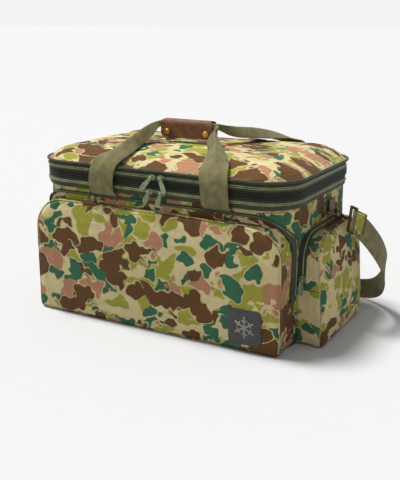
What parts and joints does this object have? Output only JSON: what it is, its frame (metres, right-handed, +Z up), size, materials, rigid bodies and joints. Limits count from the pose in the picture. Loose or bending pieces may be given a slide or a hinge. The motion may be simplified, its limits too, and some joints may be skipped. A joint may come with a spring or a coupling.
{
  "type": "insulated cooler bag",
  "caption": "Soft rectangular insulated cooler bag with zipped tray and cover, front and side pockets, webbing handles in a leather wrap, and a clip-on shoulder strap.",
  "frame": {"origin": "on the floor under the middle of the body's base", "axes": "+X to the bag's right as its front is faced, +Y to its back, +Z up; the front pocket faces -Y"},
  "size_m": [0.668, 0.3697, 0.352],
  "materials": {
    "camo_canvas": "printed cotton canvas",
    "base_board": "coated canvas over board",
    "foam": "closed-cell foam",
    "foil_liner": "heat-sealed foil laminate",
    "olive_tape": "woven tape",
    "tray_lining": "nylon lining",
    "olive_webbing": "woven webbing",
    "brown_leather": "smooth, waxed",
    "aged_brass": "aged",
    "green_metal": "satin",
    "badge_vinyl": "matt",
    "dark_plastic": "moulded"
  },
  "bodies": {
    "bag_body": {"base_panel": "base_board", "wall_shell": "camo_canvas", "foam_base": "foam", "foam_wall": "foam", "liner_tub": "foil_liner", "rim_band": "olive_tape", "main_zip_body_half": "olive_tape", "front_pocket_lower": "camo_canvas", "pocket_zip_body_halves": "olive_tape", "pocket_badge": "badge_vinyl", "side_pocket_lowers": "camo_canvas", "back_handle_anchors": "olive_webbing", "ring_tabs": "olive_webbing", "shoulder_strap": "olive_webbing", "strap_adjuster": "dark_plastic"},
    "tray": {"tray_gusset": "olive_tape", "tray_floor": "tray_lining", "main_zip_tray_half": "olive_tape", "top_zip_tray_half": "olive_tape", "back_handle_run": "olive_webbing"},
    "cover": {"cover_shell": "camo_canvas", "cover_foam": "foam", "cover_liner": "foil_liner", "cover_piping": "olive_tape", "lid_tab": "camo_canvas", "top_zip_cover_half": "olive_tape"},
    "back_handle": {"back_handle_webbing": "olive_webbing", "wrap_back": "brown_leather", "snap_studs": "aged_brass"},
    "wrap_flap": {"wrap_flap": "brown_leather", "snap_caps": "aged_brass"},
    "front_handle": {"front_handle_webbing": "olive_webbing"},
    "front_pocket": {"front_pocket_flap": "camo_canvas", "front_zip_flap_half": "olive_tape"},
    "top_slider_left": {"top_slider_left": "green_metal"},
    "top_pull_left": {"top_pull_left": "green_metal"},
    "top_slider_right": {"top_slider_right": "green_metal"},
    "top_pull_right": {"top_pull_right": "green_metal"},
    "main_slider_left": {"main_slider_left": "green_metal"},
    "main_pull_left": {"main_pull_left": "green_metal"},
    "main_slider_right": {"main_slider_right": "green_metal"},
    "main_pull_right": {"main_pull_right": "green_metal"},
    "front_pocket_slider": {"front_pocket_slider": "green_metal"},
    "front_pocket_pull": {"front_pocket_pull": "green_metal"},
    "side_slider_right": {"side_slider_right": "green_metal"},
    "side_pull_right": {"side_pull_right": "green_metal"},
    "side_slider_left": {"side_slider_left": "green_metal"},
    "side_pull_left": {"side_pull_left": "green_metal"},
    "side_pocket_right": {"side_pocket_flap_right": "camo_canvas", "side_zip_flap_half_right": "olive_tape"},
    "ring_right": {"ring_right": "aged_brass"},
    "hook_right": {"hook_right": "aged_brass"},
    "gate_right": {"hook_gate_right": "aged_brass"},
    "loop_right": {"strap_loop_right": "aged_brass"},
    "side_pocket_left": {"side_pocket_flap_left": "camo_canvas", "side_zip_flap_half_left": "olive_tape"},
    "ring_left": {"ring_left": "aged_brass"},
    "hook_left": {"hook_left": "aged_brass"},
    "gate_left": {"hook_gate_left": "aged_brass"},
    "loop_left": {"strap_loop_left": "aged_brass"}
  },
  "joints": [
    {"name": "main_lid", "type": "hinge", "parent": "bag_body", "child": "tray", "pos_m": [0, 0.167, 0.2465], "axis": [-1, 0, 0], "range_deg": [0, 95]},
    {"name": "top_cover", "type": "hinge", "parent": "tray", "child": "cover", "pos_m": [0, 0.167, 0.2717], "axis": [-1, 0, 0], "range_deg": [0, 75]},
    {"name": "back_handle_swing", "type": "hinge", "parent": "cover", "child": "back_handle", "pos_m": [0, 0.171, 0.284], "axis": [-1, 0, 0], "range_deg": [0, 85], "deforming": ["back_handle_webbing", "back_handle_run", "back_handle_anchors"]},
    {"name": "front_handle_swing", "type": "hinge", "parent": "bag_body", "child": "front_handle", "pos_m": [0, -0.161, 0.23], "axis": [1, 0, 0], "range_deg": [0, 90], "deforming": ["front_handle_webbing"]},
    {"name": "wrap_flap_fold", "type": "hinge", "parent": "back_handle", "child": "wrap_flap", "pos_m": [0.001, -0.0446, 0.3493], "axis": [-1, 0, 0], "range_deg": [0, 130]},
    {"name": "front_pocket_fold", "type": "hinge", "parent": "bag_body", "child": "front_pocket", "pos_m": [0, -0.173, 0.08], "axis": [1, 0, 0], "range_deg": [0, 45]},
    {"name": "top_slider_left_slide", "type": "slide", "parent": "tray", "child": "top_slider_left", "axis": [-1, 0, 0], "range_m": [0, 0.15]},
    {"name": "top_pull_left_flip", "type": "hinge", "parent": "top_slider_left", "child": "top_pull_left", "pos_m": [0.008, -0.1734, 0.2717], "axis": [-0.788, 0, 0.6157], "range_deg": [0, 110]},
    {"name": "top_slider_right_slide", "type": "slide", "parent": "tray", "child": "top_slider_right", "axis": [1, 0, 0], "range_m": [0, 0.145]},
    {"name": "top_pull_right_flip", "type": "hinge", "parent": "top_slider_right", "child": "top_pull_right", "pos_m": [0.025, -0.1734, 0.2717], "axis": [-0.848, 0, -0.5299], "range_deg": [0, 110]},
    {"name": "main_slider_left_slide", "type": "slide", "parent": "bag_body", "child": "main_slider_left", "axis": [-1, 0, 0], "range_m": [0, 0.15]},
    {"name": "main_pull_left_flip", "type": "hinge", "parent": "main_slider_left", "child": "main_pull_left", "pos_m": [0.003, -0.1734, 0.2465], "axis": [-0.9272, 0, 0.3746], "range_deg": [0, 110]},
    {"name": "main_slider_right_slide", "type": "slide", "parent": "bag_body", "child": "main_slider_right", "axis": [1, 0, 0], "range_m": [0, 0.145]},
    {"name": "main_pull_right_flip", "type": "hinge", "parent": "main_slider_right", "child": "main_pull_right", "pos_m": [0.027, -0.1734, 0.2465], "axis": [-0.9511, 0, 0.309], "range_deg": [0, 110]},
    {"name": "front_pocket_slider_slide", "type": "slide", "parent": "bag_body", "child": "front_pocket_slider", "axis": [0, 0, 1], "range_m": [0, 0.04]},
    {"name": "front_pocket_pull_flip", "type": "hinge", "parent": "front_pocket_slider", "child": "front_pocket_pull", "pos_m": [-0.2511, -0.1155, 0.084], "axis": [0, 1, 0], "range_deg": [0, 110]},
    {"name": "side_slider_right_slide", "type": "slide", "parent": "bag_body", "child": "side_slider_right", "axis": [0, 0, 1], "range_m": [0, 0.04]},
    {"name": "side_pull_right_flip", "type": "hinge", "parent": "side_slider_right", "child": "side_pull_right", "pos_m": [0.2532, -0.1085, 0.117], "axis": [-1, 0, 0], "range_deg": [0, 110]},
    {"name": "side_slider_left_slide", "type": "slide", "parent": "bag_body", "child": "side_slider_left", "axis": [0, 0, 1], "range_m": [0, 0.04]},
    {"name": "side_pull_left_flip", "type": "hinge", "parent": "side_slider_left", "child": "side_pull_left", "pos_m": [-0.2532, -0.1085, 0.117], "axis": [-1, 0, 0], "range_deg": [0, 110]},
    {"name": "side_pocket_fold_right", "type": "hinge", "parent": "bag_body", "child": "side_pocket_right", "pos_m": [0.2875, 0, 0.097], "axis": [0, 1, 0], "range_deg": [0, 15.5]},
    {"name": "ring_swing_right", "type": "hinge", "parent": "bag_body", "child": "ring_right", "pos_m": [0.2474, 0.03, 0.203], "axis": [0, -1, 0], "range_deg": [0, 46.5], "deforming": ["shoulder_strap"]},
    {"name": "hook_turn_right", "type": "hinge", "parent": "ring_right", "child": "hook_right", "pos_m": [0.2635, 0.03, 0.199], "axis": [0, -1, 0], "range_deg": [0, 4]},
    {"name": "loop_swivel_right", "type": "hinge", "parent": "hook_right", "child": "loop_right", "pos_m": [0.2635, 0.03, 0.199], "axis": [0.8933, -0.4305, -0.1292], "range_deg": [0, 35]},
    {"name": "hook_gate_push_right", "type": "hinge", "parent": "hook_right", "child": "gate_right", "pos_m": [0.26856, 0.02756, 0.20214], "axis": [-0.4341, -0.9008, 0], "range_deg": [0, 20], "stiffness_Nm_per_rad": 0.02},
    {"name": "side_pocket_fold_left", "type": "hinge", "parent": "bag_body", "child": "side_pocket_left", "pos_m": [-0.2875, 0, 0.097], "axis": [0, -1, 0], "range_deg": [0, 15.5]},
    {"name": "ring_swing_left", "type": "hinge", "parent": "bag_body", "child": "ring_left", "pos_m": [-0.2474, 0.03, 0.203], "axis": [0, 1, 0], "range_deg": [0, 46.5]},
    {"name": "hook_turn_left", "type": "hinge", "parent": "ring_left", "child": "hook_left", "pos_m": [-0.2635, 0.03, 0.199], "axis": [0, 1, 0], "range_deg": [0, 4]},
    {"name": "loop_swivel_left", "type": "hinge", "parent": "hook_left", "child": "loop_left", "pos_m": [-0.2635, 0.03, 0.199], "axis": [-0.8933, -0.4305, -0.1292], "range_deg": [-35, 0]},
    {"name": "hook_gate_push_left", "type": "hinge", "parent": "hook_left", "child": "gate_left", "pos_m": [-0.26856, 0.02756, 0.20214], "axis": [-0.4341, 0.9008, 0], "range_deg": [0, 20], "stiffness_Nm_per_rad": 0.02}
  ],
  "couplings": [
    {"joint": "wrap_flap_fold", "follows": "front_handle_swing", "ratio": 1.44},
    {"joint": "ring_swing_right", "follows": "side_pocket_fold_right", "ratio": 3},
    {"joint": "ring_swing_left", "follows": "side_pocket_fold_left", "ratio": 3}
  ]
}
